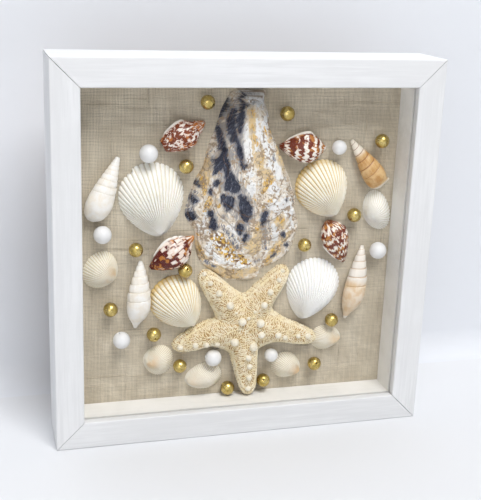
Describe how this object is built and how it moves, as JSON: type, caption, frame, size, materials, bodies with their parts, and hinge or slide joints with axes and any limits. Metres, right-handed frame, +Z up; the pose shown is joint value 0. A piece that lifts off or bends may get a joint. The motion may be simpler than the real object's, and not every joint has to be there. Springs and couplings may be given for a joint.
{
  "type": "shadow box",
  "caption": "Square deep box frame with a glazed front, a linen-covered pin board, and a fixed display of seashells, a starfish and beads.",
  "frame": {"origin": "middle of the box on the surface that it stands on, halfway between the rails' front face and the screw heads behind", "axes": "+Z up, front of the box towards -Y, +X to the viewer's right"},
  "size_m": [0.25, 0.0454, 0.25],
  "materials": {
    "frame_paint": "matte white paint over wood grain",
    "glazing": "clear",
    "liner": "off-white paper",
    "linen": "coarse natural weave",
    "soft_board": "raw soft board",
    "hardboard": "raw hardboard",
    "zinc": "zinc plated",
    "oyster": "layered shell, satin",
    "starfish": "dry and grainy",
    "cockle_white": "shell, satin",
    "cockle_cream": "shell, satin",
    "conch": "mottled shell, glossy",
    "auger_white": "shell, satin",
    "auger_tan": "banded shell, glossy",
    "gold_pearl": "pearl lacquer",
    "white_pearl": "soft white"
  },
  "bodies": {
    "box": {"frame_rail_top": "frame_paint", "frame_rail_bottom": "frame_paint", "frame_rail_left": "frame_paint", "frame_rail_right": "frame_paint", "front_glazing": "glazing", "box_liner": "liner", "linen_cover": "linen", "pin_board": "soft_board", "back_panel": "hardboard", "turn_button_screw_top": "zinc", "turn_button_screw_bottom": "zinc", "turn_button_screw_left": "zinc", "turn_button_screw_right": "zinc", "sawtooth_hanger": "zinc", "oyster_shell": "oyster", "starfish": "starfish", "cockle_upper_left": "cockle_white", "cockle_upper_right": "cockle_cream", "cockle_lower_left": "cockle_cream", "cockle_lower_right": "cockle_white", "small_cockle_left_edge": "cockle_cream", "small_cockle_right_edge": "cockle_white", "small_cockle_low_left": "cockle_white", "small_cockle_bottom_left": "cockle_white", "small_cockle_bottom_right": "cockle_white", "small_cockle_low_right": "cockle_cream", "conch_top_left": "conch", "conch_top_right": "conch", "conch_middle_left": "conch", "conch_middle_right": "conch", "auger_top_left": "auger_white", "auger_low_left": "auger_white", "auger_top_right": "auger_tan", "auger_low_right": "auger_tan", "gold_bead_01": "gold_pearl", "gold_bead_02": "gold_pearl", "gold_bead_03": "gold_pearl", "gold_bead_04": "gold_pearl", "gold_bead_05": "gold_pearl", "gold_bead_06": "gold_pearl", "gold_bead_07": "gold_pearl", "gold_bead_08": "gold_pearl", "gold_bead_09": "gold_pearl", "gold_bead_10": "gold_pearl", "gold_bead_11": "gold_pearl", "gold_bead_12": "gold_pearl", "gold_bead_13": "gold_pearl", "gold_bead_14": "gold_pearl", "gold_bead_15": "gold_pearl", "white_bead_1": "white_pearl", "white_bead_2": "white_pearl", "white_bead_3": "white_pearl", "white_bead_4": "white_pearl", "white_bead_5": "white_pearl", "white_bead_6": "white_pearl", "white_bead_7": "white_pearl"},
    "button_top": {"turn_button_top": "zinc"},
    "button_bottom": {"turn_button_bottom": "zinc"},
    "button_left": {"turn_button_left": "zinc"},
    "button_right": {"turn_button_right": "zinc"}
  },
  "joints": [
    {"name": "button_top_turn", "type": "hinge", "parent": "box", "child": "button_top", "pos_m": [0, 0.0202, 0.2445], "axis": [0, 1, 0], "continuous": true},
    {"name": "button_bottom_turn", "type": "hinge", "parent": "box", "child": "button_bottom", "pos_m": [0, 0.0202, 0.0055], "axis": [0, 1, 0], "continuous": true},
    {"name": "button_left_turn", "type": "hinge", "parent": "box", "child": "button_left", "pos_m": [-0.1195, 0.0202, 0.125], "axis": [0, 1, 0], "continuous": true},
    {"name": "button_right_turn", "type": "hinge", "parent": "box", "child": "button_right", "pos_m": [0.1195, 0.0202, 0.125], "axis": [0, 1, 0], "continuous": true}
  ]
}
